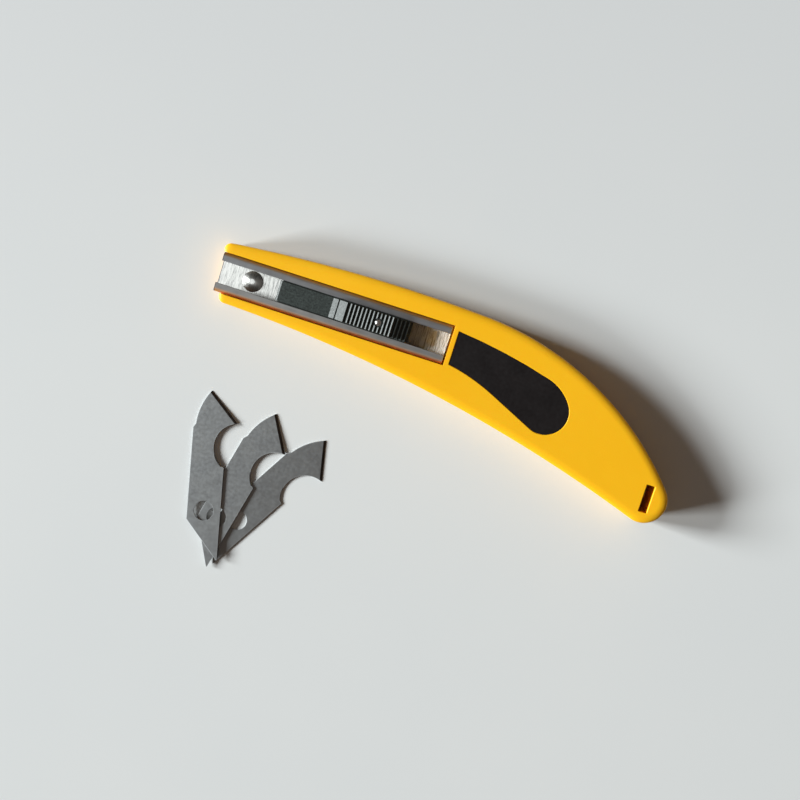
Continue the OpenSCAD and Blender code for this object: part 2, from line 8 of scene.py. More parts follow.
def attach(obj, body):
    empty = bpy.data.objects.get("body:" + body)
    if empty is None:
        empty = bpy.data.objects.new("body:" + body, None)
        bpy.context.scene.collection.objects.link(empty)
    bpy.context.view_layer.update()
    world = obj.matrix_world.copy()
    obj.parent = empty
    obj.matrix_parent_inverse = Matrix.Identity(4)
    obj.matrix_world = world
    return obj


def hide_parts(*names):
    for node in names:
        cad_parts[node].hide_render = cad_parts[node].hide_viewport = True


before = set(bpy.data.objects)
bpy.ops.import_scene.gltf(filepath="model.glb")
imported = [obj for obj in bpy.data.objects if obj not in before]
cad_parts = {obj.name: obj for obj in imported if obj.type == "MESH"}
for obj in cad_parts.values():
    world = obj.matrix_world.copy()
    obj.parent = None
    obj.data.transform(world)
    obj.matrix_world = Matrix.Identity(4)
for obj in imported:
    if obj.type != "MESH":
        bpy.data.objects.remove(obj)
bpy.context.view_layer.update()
scene = bpy.context.scene

# ----------------------------------------
# Camera, studio light and table. The knife is seen almost straight from above; two broad soft
# lamps stand low on the left like a window, in a dim warm room that is lighter at the horizon.
# ----------------------------------------
camera_data = bpy.data.cameras.new("camera")
camera_data.lens = 49.5
camera_data.sensor_width = 36
camera = bpy.data.objects.new("camera", camera_data)
camera.location = (0.0728, 0.0127, 0.3873)
camera.rotation_euler = [math.radians(a) for a in (-4.63, 3.33, 17.78)]
scene.collection.objects.link(camera)
scene.camera = camera
scene.view_settings.view_transform = "Standard"

aim = Vector((0.07, -0.03, 0))
DISTANCE = 12  # from that point to each lamp
# Each lamp's bearing from +X, its rise, its width and its height as seen from the knife, all in
# degrees, and its power in watts.
WINDOWS = ((204.8, 21, 11, 14, 1380), (182.4, 22, 12.5, 16, 2280))
for turn_deg, rise_deg, width_deg, height_deg, power in WINDOWS:
    turn, rise = math.radians(turn_deg), math.radians(rise_deg)
    window_data = bpy.data.lights.new("window", "AREA")
    window_data.shape = "RECTANGLE"
    window_data.size = 2 * DISTANCE * math.tan(math.radians(width_deg / 2))
    window_data.size_y = 2 * DISTANCE * math.tan(math.radians(height_deg / 2))
    window_data.energy = power
    window_data.color = (0.93, 0.98, 0.985)
    window = bpy.data.objects.new("window", window_data)
    away = Vector((math.cos(turn) * math.cos(rise), math.sin(turn) * math.cos(rise), math.sin(rise)))
    window.location = aim + away * DISTANCE
    window.rotation_euler = away.to_track_quat("Z", "Y").to_euler()
    scene.collection.objects.link(window)


def wire(tree, *pairs):
    """Links each (output, input) pair of sockets."""
    for output, target in pairs:
        tree.links.new(output, target)


room = bpy.data.worlds.new("room")
scene.world = room
room.use_nodes = True
sky = room.node_tree
sky_coords = sky.nodes.new("ShaderNodeTexCoord")
sky_split = sky.nodes.new("ShaderNodeSeparateXYZ")
sky_ramp = sky.nodes.new("ShaderNodeValToRGB")
sky_ramp.color_ramp.elements[0].position = 0.0
sky_ramp.color_ramp.elements[0].color = (0.132, 0.098, 0.074, 1)
sky_ramp.color_ramp.elements[1].position = 0.75
sky_ramp.color_ramp.elements[1].color = (0.105, 0.084, 0.07, 1)
wire(sky, (sky_coords.outputs["Generated"], sky_split.inputs[0]),
     (sky_split.outputs["Z"], sky_ramp.inputs[0]),
     (sky_ramp.outputs["Color"], sky.nodes["Background"].inputs["Color"]))


def new_shader(name, metallic=0.0):
    """A new node material: (material, tree, its Principled BSDF, Object coordinates)."""
    material = bpy.data.materials.new(name)
    material.use_nodes = True
    tree = material.node_tree
    shader = tree.nodes["Principled BSDF"]
    shader.inputs["Metallic"].default_value = metallic
    return material, tree, shader, tree.nodes.new("ShaderNodeTexCoord").outputs["Object"]


def noise(tree, coords, scale, detail, roughness=0.5):
    """Noise with that many cells to the metre; returns its value's socket."""
    texture = tree.nodes.new("ShaderNodeTexNoise")
    texture.inputs["Scale"].default_value = scale
    texture.inputs["Detail"].default_value = detail
    texture.inputs["Roughness"].default_value = roughness
    wire(tree, (coords, texture.inputs["Vector"]))
    return texture.outputs[0]


def span(tree, value, low, high, to_low, to_high):
    """value carried from the range low..high to to_low..to_high, and held at its ends."""
    remap = tree.nodes.new("ShaderNodeMapRange")
    for key, number in zip(("From Min", "From Max", "To Min", "To Max"), (low, high, to_low, to_high)):
        remap.inputs[key].default_value = number
    wire(tree, (value, remap.inputs["Value"]))
    return remap.outputs["Result"]


def mottled(tree, coords, scale, detail, low, high):
    """Noise whose middle range is carried to low..high, for uneven colour or gloss."""
    return span(tree, noise(tree, coords, scale, detail), 0.3, 0.7, low, high)


def blend(tree, share, a, b):
    """Colour a where share is 0 and b where it is 1; each is a colour or a socket."""
    mix = tree.nodes.new("ShaderNodeMix")
    mix.data_type = "RGBA"
    wire(tree, (share, mix.inputs[0]))
    for socket, colour in ((mix.inputs[6], a), (mix.inputs[7], b)):
        if isinstance(colour, tuple):
            socket.default_value = (*colour, 1)
        else:
            wire(tree, (colour, socket))
    return mix.outputs[2]


TABLE_HALF = 2.5
table_mesh = bpy.data.meshes.new("table")
table_corners = ((-1, -1), (1, -1), (1, 1), (-1, 1))
table_mesh.from_pydata([(x * TABLE_HALF, y * TABLE_HALF, 0) for x, y in table_corners], [], [(0, 1, 2, 3)])
table = bpy.data.objects.new("table", table_mesh)
scene.collection.objects.link(table)
table_paint, tree, shader, coords = new_shader("table_paint")
paper = blend(tree, mottled(tree, coords, 9, 3, 0, 1), (0.67, 0.685, 0.69), (0.69, 0.70, 0.70))
# The table is painted a little darker towards its far side: painted shade, where the lamps' light falls off.
across = tree.nodes.new("ShaderNodeVectorMath")
across.operation = "DOT_PRODUCT"
across.inputs[1].default_value = (-0.305, 0.952, 0)
wire(tree, (coords, across.inputs[0]))
far_shade_share = span(tree, across.outputs["Value"], -0.02, 0.13, 0, 1)
wire(tree, (blend(tree, far_shade_share, paper, (0.635, 0.645, 0.655)), shader.inputs["Base Color"]))
shader.inputs["Roughness"].default_value = 0.7
shader.inputs["Specular IOR Level"].default_value = 0.2
table_mesh.materials.append(table_paint)

# ----------------------------------------
# Lower half of the handle: an injection-moulded shell of yellow plastic. Its back is the face that
# the knife lies on; behind the channel it is hollow, with screw bosses and the lanyard sleeve, and
# under the channel it has ribbed pockets. Two pairs of pins align it with the upper half.
# ----------------------------------------
body_t = 0.0135
parting_z = 0.007
back_round, back_round_h = 0.0022, 0.0012
side_taper = 0.0002
wall = 0.0026
skin = 0.002
nose_x = -0.0103
nose_slant = math.radians(10)
nose_corner_r = 0.0022
nose_share = 0.5  # share of the edges' rounding kept on the nose's front face
spine_peak = Vector((0.0515, 0.014))
spine_r = 0.555
spine_blend_x = 0.0813
rump_r = 0.107
rump_turn = math.radians(49.7)
tail_r = 0.0081
belly_r = 0.524
belly_turn = math.radians(18.6)
parting_edge = 0.00012  # small round on both halves where they meet
rim_edge = 0.00016  # small round on the rims of pockets and slots

channel_mouth = 0.0118
channel_l = 0.0827
channel_w = 0.0138
channel_h = 0.0056
sheet_t = 0.0007
pocket_gap = 0.00015
pocket_end_gap = 0.0007  # room left behind the channel
label_web = 0.0017  # between the pocket and the label
pocket_w = channel_w + 2 * pocket_gap
pocket_end_x = channel_l - channel_mouth + pocket_end_gap
label_x = pocket_end_x + label_web
hollow_x = label_x + wall - label_web
slot_w = 0.003
slot_l = 0.0096
slot_corner_r = 0.00025
sleeve_wall = 0.0016
screw_r = 0.00125
screw_wall = 0.0019
screw_boss_r = screw_r + screw_wall
screw_gap = 0.00005
screw_head_r = 0.0024
screw_head_gap = 0.00025
screw_seat_z = 0.0022
arm_wall = 0.0009  # between the pocket and the front pair of screws
front_screw_x = 0.044
rear_screw_xs = (0.096, 0.134)
pin_xs = (0.002, 0.062)
pin_r = 0.0009
pin_h = 0.0025
channel_screw_x = 0.029
channel_screw_r = 0.0012
RING_STEPS = 14
FAR = 0.1  # beyond the handle, for cutters that take one side of it
CUT = 0.001  # how far a cutter runs past the face it opens in


def arc(centre, r, start, end, count):
    """Points on an arc from one angle to another, without the last one."""
    turns = [start + (end - start) * i / count for i in range(count)]
    return [centre + r * Vector((math.cos(a), math.sin(a))) for a in turns]


def heading(angle):
    """The direction at that angle from +Y towards +X."""
    return Vector((math.sin(angle), math.cos(angle)))


def bearing(vector):
    """A vector's angle from +X."""
    return math.atan2(vector[1], vector[0])


blend_turn = math.asin((spine_blend_x - spine_peak[0]) / spine_r)
spine_c = spine_peak - Vector((0, spine_r))
rump_c = spine_c + (spine_r - rump_r) * heading(blend_turn)
tail_c = rump_c + (rump_r - tail_r) * heading(rump_turn)
belly_c = tail_c - (tail_r + belly_r) * heading(belly_turn)
slot_c = tail_c + Vector((0.0005, 0.0007))  # the lanyard slot, just off the tail's centre


def nose_corner(offset, centre, reach):
    """Centre of a nose corner: off the front face by offset, and at distance reach from centre."""
    inward = Vector((math.cos(nose_slant), math.sin(nose_slant)))
    upward = Vector((-inward[1], inward[0]))
    start = Vector((nose_x, 0)) + offset * inward
    gap = start - centre
    along = gap.dot(upward)
    return start + upward * (math.sqrt(along * along - gap.dot(gap) + reach * reach) - along)


def handle_outline(depth):
    """The handle seen from its face: tangent arcs for spine, rump, tail and belly, moved inwards."""
    r = nose_corner_r
    front = nose_share * depth + r
    top = nose_corner(front, spine_c, spine_r - depth - r)
    low = nose_corner(front, belly_c, belly_r + depth + r)
    top_a, low_a = bearing(top - spine_c), bearing(low - belly_c)
    right = math.pi / 2
    return (arc(top, r, top_a, math.pi + nose_slant, 12)
            + arc(low, r, math.pi + nose_slant, math.pi + low_a, 12)
            + arc(belly_c, belly_r + depth, low_a, right - belly_turn, 60)
            + arc(tail_c, tail_r - depth, -right - belly_turn, right - rump_turn, 44)
            + arc(rump_c, rump_r - depth, right - rump_turn, right - blend_turn, 60)
            + arc(spine_c, spine_r - depth, right - blend_turn, top_a, 34))


def spine_y(x):
    """Where the spine's edge is at x."""
    centre, r = (rump_c, rump_r) if x > spine_blend_x else (spine_c, spine_r)
    return centre[1] + math.sqrt(r * r - (x - centre[0]) ** 2)


def belly_y(x):
    """Where the belly's edge is at x."""
    return belly_c[1] + math.sqrt(belly_r ** 2 - (x - belly_c[0]) ** 2)


front_screw_y = pocket_w / 2 + arm_wall + screw_r + screw_gap
case_screw_spots = [(front_screw_x, front_screw_y), (front_screw_x, -front_screw_y)]
case_screw_spots += [(x, (spine_y(x) + belly_y(x)) / 2) for x in rear_screw_xs]
pin_spots = [(x, (side * pocket_w / 2 + (spine_y(x) if side > 0 else belly_y(x))) / 2)
             for x in pin_xs for side in (1, -1)]


def new_piece(name, mesh):
    """A mesh as an object of the scene."""
    piece = bpy.data.objects.new(name, mesh)
    scene.collection.objects.link(piece)
    return piece


def loft(name, rings):
    """A closed solid through rings of points, all with the same count."""
    count, last = len(rings[0]), (len(rings) - 1) * len(rings[0])
    faces = [list(range(count)), list(range(last, last + count))]
    faces += [(k + i, k + (i + 1) % count, k + (i + 1) % count + count, k + i + count)
              for k in range(0, last, count) for i in range(count)]
    mesh = bpy.data.meshes.new(name)
    mesh.from_pydata([p for ring in rings for p in ring], [], faces)
    shape = bmesh.new()
    shape.from_mesh(mesh)
    bmesh.ops.recalc_face_normals(shape, faces=shape.faces)
    shape.to_mesh(mesh)
    shape.free()
    return new_piece(name, mesh)


def inset(outline, depth):
    """An anticlockwise outline of (x, y) moved inwards by depth, or outwards where it is negative."""
    moved = []
    for before, p, after in zip(outline[-1:] + outline[:-1], outline, outline[1:] + outline[:1]):
        a, b = (p - before).normalized(), (after - p).normalized()
        moved.append(p + Vector((-a[1] - b[1], a[0] + b[0])) * (depth / (1 + a.dot(b))))
    return moved


def eased(outline, r):
    """An outline with its corners of 20 degrees or more rounded at radius r, or less where space is short."""
    path = []
    for before, p, after in zip(outline[-1:] + outline[:-1], outline, outline[1:] + outline[:1]):
        a, b = p - before, after - p
        turn = math.atan2(a[0] * b[1] - a[1] * b[0], a.dot(b))
        if abs(turn) < math.radians(20):
            path.append(p)
            continue
        lean = math.tan(abs(turn) / 2)
        cut = min(r * lean, 0.45 * a.length, 0.45 * b.length)
        out = Vector((a[1], -a[0])).normalized() * math.copysign(cut / lean, turn)
        start = p - a.normalized() * cut
        steps = math.ceil(abs(turn) / math.radians(25))
        path += [start - out + Matrix.Rotation(turn * k / steps, 2) @ out for k in range(steps + 1)]
    return path


ROUND = [(math.sin(math.radians(a)), math.cos(math.radians(a))) for a in (0, 30, 60, 90)]
AXES = {"z": lambda u, v, w: (u, v, w), "x": lambda u, v, w: (w, u, v), "y": lambda u, v, w: (u, w, v)}


def slab(name, outline, low, high, edge=0.0, axis="z"):
    """An outline given thickness along an axis, with both rims and its corners rounded by an edge radius."""
    if not edge:
        return loft(name, [[AXES[axis](*p, w) for p in outline] for w in (low, high)])
    outline = eased(outline, 1.8 * edge)
    rings = [(edge * (1 - s), low + edge * (1 - c)) for s, c in ROUND]
    rings += [(depth, high + low - w) for depth, w in rings[::-1]]
    return loft(name, [[AXES[axis](*p, w) for p in inset(outline, depth)] for depth, w in rings])


def opening(name, outline, low, high, edge, both=False):
    """A cutter that comes out through the face at high, and flares there so that its rim is round."""
    rings = [(edge * (1 - c), high - edge + edge * s) for s, c in ROUND] + [(edge, high + CUT)]
    if both:
        rings = [(depth, low + high - w) for depth, w in rings[::-1]] + rings
    else:
        rings = [(0, low)] + rings
    return loft(name, [[(p[0], p[1], z) for p in inset(outline, -depth)] for depth, z in rings])


def rectangle(x0, x1, y0, y1):
    """A rectangle's corners, anticlockwise."""
    return [Vector(p) for p in ((x0, y0), (x1, y0), (x1, y1), (x0, y1))]


def rectangle_round(centre, half_x, half_y):
    """A rectangle of those half sizes about a centre."""
    return rectangle(centre[0] - half_x, centre[0] + half_x, centre[1] - half_y, centre[1] + half_y)


def circle(centre, r, count=40):
    """Points round a whole circle."""
    return arc(Vector(centre), r, 0, 2 * math.pi, count)


def settle(piece):
    """The piece's modifiers worked into a plain mesh, and taken off."""
    depsgraph = bpy.context.evaluated_depsgraph_get()
    mesh = bpy.data.meshes.new_from_object(piece.evaluated_get(depsgraph))
    piece.modifiers.clear()
    piece.data = mesh


def combine(piece, tools, operation="DIFFERENCE"):
    """The tools cut from the piece, or joined to it, one after another."""
    for tool in tools:
        cut = piece.modifiers.new("cut", "BOOLEAN")
        cut.operation = operation
        cut.solver = "EXACT"
        cut.object = tool
    settle(piece)
    for tool in tools:
        bpy.data.objects.remove(tool)


def smooth(piece, limit=40):
    """Smooth shading between faces that meet at less than the limit, weighted by their size."""
    mesh = piece.data
    mesh.polygons.foreach_set("use_smooth", [True] * len(mesh.polygons))
    mesh.set_sharp_from_angle(angle=math.radians(limit))
    weigh = piece.modifiers.new("weigh", "WEIGHTED_NORMAL")
    weigh.keep_sharp = True
    settle(piece)


def half_rings(z_parting, z_face, width, height):
    """Rings of half a handle: from its parting line up a tapered side and over an elliptical edge."""
    way = 1 if z_face > z_parting else -1
    middle = parting_edge * 0.29  # the middle of a round, in from either side
    rings = [(parting_edge, 0), (middle, middle), (0, parting_edge)]
    for k in range(RING_STEPS + 1):
        a = math.pi / 2 * k / RING_STEPS
        rise = abs(z_face - z_parting) - height * (1 - math.sin(a))
        rings.append((side_taper + width * (1 - math.cos(a)), rise))
    return [[(*p, z_parting + way * rise) for p in handle_outline(depth)] for depth, rise in rings]


def hollow_tool(z0, z1):
    """Cutter of the hollow behind the channel, round its screw bosses and the lanyard sleeve."""
    tool = slab("hollow", handle_outline(wall), z0, z1)
    front = rectangle(-FAR, hollow_x, -FAR, FAR)
    sleeve = rectangle_round(slot_c, slot_w / 2 + sleeve_wall, slot_l / 2 + sleeve_wall)
    combine(tool, [slab("front", front, z0 - CUT, z1 + CUT), slab("sleeve", sleeve, z0 - CUT, z1 + CUT)]
            + [column(spot, screw_boss_r, z0 - CUT, z1 + CUT) for spot in case_screw_spots[2:]])
    return tool


def column(spot, r, z0, z1):
    """A round cutter or pin."""
    return slab("column", circle(spot, r), z0, z1)


def lanyard_tool():
    """Cutter of the lanyard slot, right through the handle and with a round rim on both faces."""
    hole = eased(rectangle_round(slot_c, slot_w / 2, slot_l / 2), slot_corner_r)
    return opening("lanyard", hole, 0, body_t, rim_edge, both=True)


def counterbore(spot):
    """Cutter of a screw's sunk seat in the back, with a rounded rim."""
    rings = [(0, screw_seat_z)] + [(rim_edge * (1 - c), rim_edge * (1 - s)) for s, c in ROUND]
    return loft("counterbore", [[(*p, z) for p in circle(spot, screw_head_r + screw_head_gap + grow)]
                                for grow, z in rings + [(rim_edge, -CUT)]])


lower_shell = loft("lower_shell_body", half_rings(parting_z, 0.0, back_round, back_round_h))
BED_POCKETS = 6
bed_x = -0.004
bed_pocket_l = 0.0112
bed_rib_t = 0.0016
bed_ledge = 0.0017  # the channel rests on a ledge this wide on either side
bed_w = channel_w - 2 * bed_ledge
bed_tools = []
for i in range(BED_POCKETS):
    x = bed_x + i * (bed_pocket_l + bed_rib_t)
    bed = slab("bed", rectangle(x, x + bed_pocket_l, -bed_w / 2, bed_w / 2), skin, parting_z + CUT)
    if x < channel_screw_x < x + bed_pocket_l:
        combine(bed, [column((channel_screw_x, 0), screw_boss_r, skin - CUT, parting_z + 2 * CUT)])
    bed_tools.append(bed)
combine(lower_shell, [hollow_tool(skin, parting_z + CUT), lanyard_tool()] + bed_tools
        + [column(spot, screw_r + screw_gap, -CUT, parting_z + CUT) for spot in case_screw_spots]
        + [counterbore(spot) for spot in case_screw_spots]
        + [column((channel_screw_x, 0), channel_screw_r + screw_gap, skin, parting_z + CUT)])
pins = [column(spot, pin_r, parting_z - CUT / 2, parting_z + pin_h) for spot in pin_spots]
combine(lower_shell, pins, "UNION")
smooth(lower_shell)


def paint(tree, shader, colour, roughness):
    """Wires a material's colour and roughness."""
    wire(tree, (colour, shader.inputs["Base Color"]), (roughness, shader.inputs["Roughness"]))


def split(tree, coords):
    """The X, Y and Z sockets of coordinates."""
    separate = tree.nodes.new("ShaderNodeSeparateXYZ")
    wire(tree, (coords, separate.inputs[0]))
    return separate.outputs


def unsigned(tree, value):
    """A value without its sign."""
    absolute = tree.nodes.new("ShaderNodeMath")
    absolute.operation = "ABSOLUTE"
    wire(tree, (value, absolute.inputs[0]))
    return absolute.outputs[0]


def relief(tree, shader, height, depth, under=None):
    """Bump of that depth in metres from a height of 0..1, on top of an earlier bump."""
    bump = tree.nodes.new("ShaderNodeBump")
    bump.inputs["Distance"].default_value = depth
    wire(tree, (height, bump.inputs["Height"]), (bump.outputs["Normal"], shader.inputs["Normal"]))
    if under:
        wire(tree, (under.outputs["Normal"], bump.inputs["Normal"]))
    return bump


# The face's yellow is uneven, as the melt flowed. The walls below it are painted deeper, as painted
# shade against the low lamps' light, and the pocket's walls more orange, as painted shade with bounce from
# the yellow.
HANDLE_YELLOW = (0.99, 0.515, 0.013)
HANDLE_DEEP = (0.97, 0.49, 0.009)
HANDLE_SIDE_SHADE = (0.82, 0.42, 0.012)
POCKET_SHADE_ORANGE = (0.98, 0.46, 0.012)
handle_plastic, tree, shader, coords = new_shader("handle_plastic")
place = split(tree, coords)
face_colour = blend(tree, mottled(tree, coords, 22, 3, 0, 1), HANDLE_YELLOW, HANDLE_DEEP)
outer = span(tree, unsigned(tree, place[1]), pocket_w / 2 + 0.0001, pocket_w / 2 + 0.0004, 0, 1)
painted_wall_shade = blend(tree, outer, POCKET_SHADE_ORANGE, HANDLE_SIDE_SHADE)
# The walls below the face's edge take the painted shade.
low = span(tree, place[2], body_t - 0.0010, body_t - 0.0024, 0, 1)
paint(tree, shader, blend(tree, low, face_colour, painted_wall_shade), mottled(tree, coords, 600, 3, 0.32, 0.42))
shader.inputs["Subsurface Weight"].default_value = 0.15
shader.inputs["Subsurface Radius"].default_value = (1.0, 0.45, 0.1)
shader.inputs["Subsurface Scale"].default_value = 0.002
shader.inputs["Specular IOR Level"].default_value = 0.35
grain = relief(tree, shader, noise(tree, coords, 2600, 2), 0.000012)
relief(tree, shader, noise(tree, coords, 120, 2), 0.00004, grain)
lower_shell.data.materials.append(handle_plastic)
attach(lower_shell, "handle")
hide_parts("lower_shell")

# ----------------------------------------
# Upper half of the handle: the same moulding for the face, with a softly rounded edge all round.
# A long pocket holds the steel channel, a shallow recess the label, and a slot takes a lanyard.
# ----------------------------------------
face_round, face_round_h = 0.003, 0.0011
recess_d = 0.00045
label_top_y = 0.0057
screw_hole_z = 0.0108
pin_hole_z = 0.0098


def smooth_path(point, angle, legs):
    """Points along arcs (radius, turn) and straight legs (0, length) that meet smoothly."""
    path, point = [], Vector(point)
    for r, amount in legs:
        if r:
            turn = math.radians(amount)
            side = math.copysign(math.pi / 2, turn)
            centre = point - r * Vector((math.cos(angle - side), math.sin(angle - side)))
            path += arc(centre, r, angle - side, angle - side + turn, math.ceil(abs(amount) / 4) + 1)
            angle += turn
            point = centre + r * Vector((math.cos(angle - side), math.sin(angle - side)))
        else:
            path.append(point)
            point = point + amount * Vector((math.cos(angle), math.sin(angle)))
    return path + [point]


def label_outline(depth):
    """The label's drop shape, square at its front end, moved inwards."""
    path = smooth_path((label_x, label_top_y - depth), math.radians(-5.1),
                       [(0.193 - depth, -10.3), (0.0156 - depth, -40.8), (0.008 - depth, -148.3),
                        (0, 0.0171), (0.0695 + depth, 15)])
    front = label_x + depth
    kept = []
    for a, b in zip(path, path[1:] + path[:1]):
        if a[0] >= front:
            kept.append(a)
        if (a[0] - front) * (b[0] - front) < 0:
            kept.append(a + (b - a) * ((front - a[0]) / (b[0] - a[0])))
    return kept[::-1]


upper_shell = loft("upper_shell_body", half_rings(parting_z, body_t, face_round, face_round_h))
pocket = rectangle(-FAR / 2, pocket_end_x, -pocket_w / 2, pocket_w / 2)
combine(upper_shell,
        [opening("pocket", pocket, parting_z - CUT, body_t, rim_edge),
         opening("recess", label_outline(0), body_t - recess_d, body_t, rim_edge),
         hollow_tool(parting_z - CUT, body_t - skin), lanyard_tool()]
        + [column(spot, screw_r + screw_gap, parting_z - CUT, screw_hole_z) for spot in case_screw_spots]
        + [column(spot, pin_r + screw_gap, parting_z - CUT, pin_hole_z) for spot in pin_spots])
smooth(upper_shell)
upper_shell.data.materials.append(handle_plastic)
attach(upper_shell, "handle")
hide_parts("upper_shell")

# ----------------------------------------
# Blade channel: sheet steel folded to a C with two lips, brushed across on its floor and satin on
# its folds. The boss that the blade's hole drops over is pressed up near its mouth, and a
# countersunk screw through the floor holds it in its pocket.
# ----------------------------------------
mouth_lean = 0.0005  # how far the lips' front ends stand back from the floor's
fold_r = 0.0014
lip_gap = 0.0077
channel_edge = 0.0001
boss_r = 0.0035
boss_h = 0.0011
boss_fillet = 0.00015
boss_flat = 0.22  # share of the boss's radius at its small flat top
boss_root = 0.0003  # how deep the boss is rooted in the sheet
boss_rim = 0.0002  # straight stretch of the hollow under the boss
channel_screw_head_r = 0.0021
brushed_half = 0.0055  # the brushed floor ends this far from the middle
floor_z = parting_z + sheet_t
lip_z = parting_z + channel_h


def corner(y, z, r, start):
    """A quarter turn of a fold, about (y, z)."""
    centre, first, last = Vector((y, z)), math.radians(start), math.radians(start - 90)
    return arc(centre, r, first, last, 10) + arc(centre, r, last, last, 1)


def fold_line(half, low, high, r):
    """The C's line from its +Y lip round to its -Y lip, as (y, z)."""
    return (corner(half - r, high - r, r, 90) + corner(half - r, low + r, r, 0)
            + corner(r - half, low + r, r, -90) + corner(r - half, high - r, r, -180))


outer_line = fold_line(channel_w / 2, parting_z, lip_z, fold_r)
inner_line = fold_line(channel_w / 2 - sheet_t, floor_z, lip_z - sheet_t, fold_r - sheet_t)
section = ([Vector((lip_gap / 2, lip_z))] + outer_line + [Vector((-lip_gap / 2, lip_z))]
           + [Vector((-lip_gap / 2, lip_z - sheet_t))] + inner_line[::-1]
           + [Vector((lip_gap / 2, lip_z - sheet_t))])


def turned(name, profile, centre=(0, 0), count=72):
    """A solid of revolution about Z through centre, from (radius, z) points, bottom to top."""
    points, faces = [], []
    for r, z in profile:
        points += [(centre[0] + r * math.cos(2 * math.pi * i / count),
                    centre[1] + r * math.sin(2 * math.pi * i / count), z) for i in range(count)]
    for k in range(len(profile) - 1):
        for i in range(count):
            j = (i + 1) % count
            faces.append((k * count + i, k * count + j, (k + 1) * count + j, (k + 1) * count + i))
    top = (len(profile) - 1) * count
    faces += [list(range(count))[::-1], list(range(top, top + count))]
    mesh = bpy.data.meshes.new(name)
    mesh.from_pydata(points, [], faces)
    return new_piece(name, mesh)


blade_channel = slab("blade_channel_body", section[::-1], -channel_mouth, channel_l - channel_mouth,
                     channel_edge, "x")
for point in blade_channel.data.vertices:
    if point.co[0] < 0:
        point.co[0] += mouth_lean * (point.co[2] - parting_z) / channel_h
# The boss rises from a small fillet like a cone, and flattens towards its top.
boss_profile = [(boss_r + boss_fillet, floor_z - boss_root), (boss_r + boss_fillet, floor_z)]
boss_profile += [(boss_r + boss_fillet * (1 - math.sin(a)), floor_z + boss_fillet * (1 - math.cos(a)))
                 for a in (math.radians(d) for d in (15, 30, 45, 60, 75))]
boss_profile += [(boss_r * (1 - (1 - boss_flat) * u),
                  floor_z + boss_fillet + (boss_h - boss_fillet) * u * (5 - u * u) / 4)
                 for u in (k / 12 for k in range(13))]
combine(blade_channel, [turned("boss", boss_profile)], "UNION")
hollow_profile = [(boss_r - sheet_t, parting_z - CUT), (boss_r - sheet_t, parting_z + boss_rim),
                  (boss_r - 3 * sheet_t, parting_z + boss_h)]
hole_r, seat_r = channel_screw_r + screw_gap, channel_screw_head_r + screw_gap
countersink_profile = [(hole_r, parting_z - CUT), (hole_r, parting_z),
                       (seat_r, floor_z), (seat_r, floor_z + CUT)]
combine(blade_channel, [turned("boss_hollow", hollow_profile),
                        turned("countersink", countersink_profile, (channel_screw_x, 0), 48)])
smooth(blade_channel)


def stretch(tree, coords, scale, turn=0.0):
    """Coordinates turned about Z and scaled, to draw a pattern out along one direction."""
    mapping = tree.nodes.new("ShaderNodeMapping")
    mapping.inputs["Rotation"].default_value = (0, 0, turn)
    mapping.inputs["Scale"].default_value = scale
    wire(tree, (coords, mapping.inputs["Vector"]))
    return mapping.outputs["Vector"]


# The folds carry a painted reflection of the yellow plastic beside them, the one on the belly's side
# most; the cut ends at the mouth are dark.
LOW_FOLD_REFLECTION = (0.80, 0.38, 0.12)
HIGH_FOLD_REFLECTION = (0.34, 0.24, 0.12)
channel_steel, tree, shader, coords = new_shader("channel_steel", 1.0)
satin = noise(tree, stretch(tree, coords, (90, 2400, 2400)), 1.0, 3, 0.6)
blotches = mottled(tree, coords, 260, 3, 0, 1)
place = split(tree, coords)
side = span(tree, place[1], -0.003, 0.003, 0, 1)
# The lip on the spine's side is painted darker than the one on the belly's side: painted shade, as it gets
# less of the lamps' light.
lit_low_lip = blend(tree, blotches, (0.30, 0.295, 0.29), (0.36, 0.355, 0.35))
shaded_high_lip = blend(tree, blotches, (0.25, 0.25, 0.26), (0.30, 0.30, 0.31))
lit_and_shaded_lips = blend(tree, side, lit_low_lip, shaded_high_lip)
fold_reflection_share = span(tree, unsigned(tree, place[1]), 0.0054, 0.0066, 0, 1)
with_fold_reflections = blend(tree, fold_reflection_share, lit_and_shaded_lips, blend(tree, side, LOW_FOLD_REFLECTION, HIGH_FOLD_REFLECTION))
end = span(tree, place[0], 0.00055 - channel_mouth, 0.0009 - channel_mouth, 0, 1)
paint(tree, shader, blend(tree, end, (0.05, 0.05, 0.055), with_fold_reflections), span(tree, satin, 0.3, 0.7, 0.50, 0.62))
relief(tree, shader, satin, 0.00001)

# The floor's scratches run across the channel, and its last stretch behind the slider is painted brighter:
# painted light, which shortens the slider's shadow there.
brushed_steel, tree, shader, coords = new_shader("brushed_steel", 1.0)
shader.inputs["Anisotropic"].default_value = 0.85
along = tree.nodes.new("ShaderNodeCombineXYZ")
along.inputs[0].default_value = 1
wire(tree, (along.outputs[0], shader.inputs["Tangent"]))
fine = noise(tree, stretch(tree, coords, (5200, 560, 560)), 1.0, 4, 0.65)
scratches = span(tree, noise(tree, stretch(tree, coords, (3000, 230, 230)), 1.0, 5, 0.75), 0.38, 0.53, 0, 1)
place = split(tree, coords)
end = span(tree, place[0], 0.0002 - channel_mouth, 0.0004 - channel_mouth, 0, 1)
painted_light_share = span(tree, place[0], 0.061, 0.066, 0, 1)
painted_bright_floor = blend(tree, painted_light_share, (0.50, 0.495, 0.48), (0.78, 0.82, 0.86))
brushed = blend(tree, scratches, (0.22, 0.22, 0.215), painted_bright_floor)
paint(tree, shader, blend(tree, end, (0.06, 0.06, 0.06), brushed), span(tree, fine, 0.3, 0.7, 0.40, 0.50))
relief(tree, shader, fine, 0.00002)
blade_channel.data.materials.append(channel_steel)
blade_channel.data.materials.append(brushed_steel)
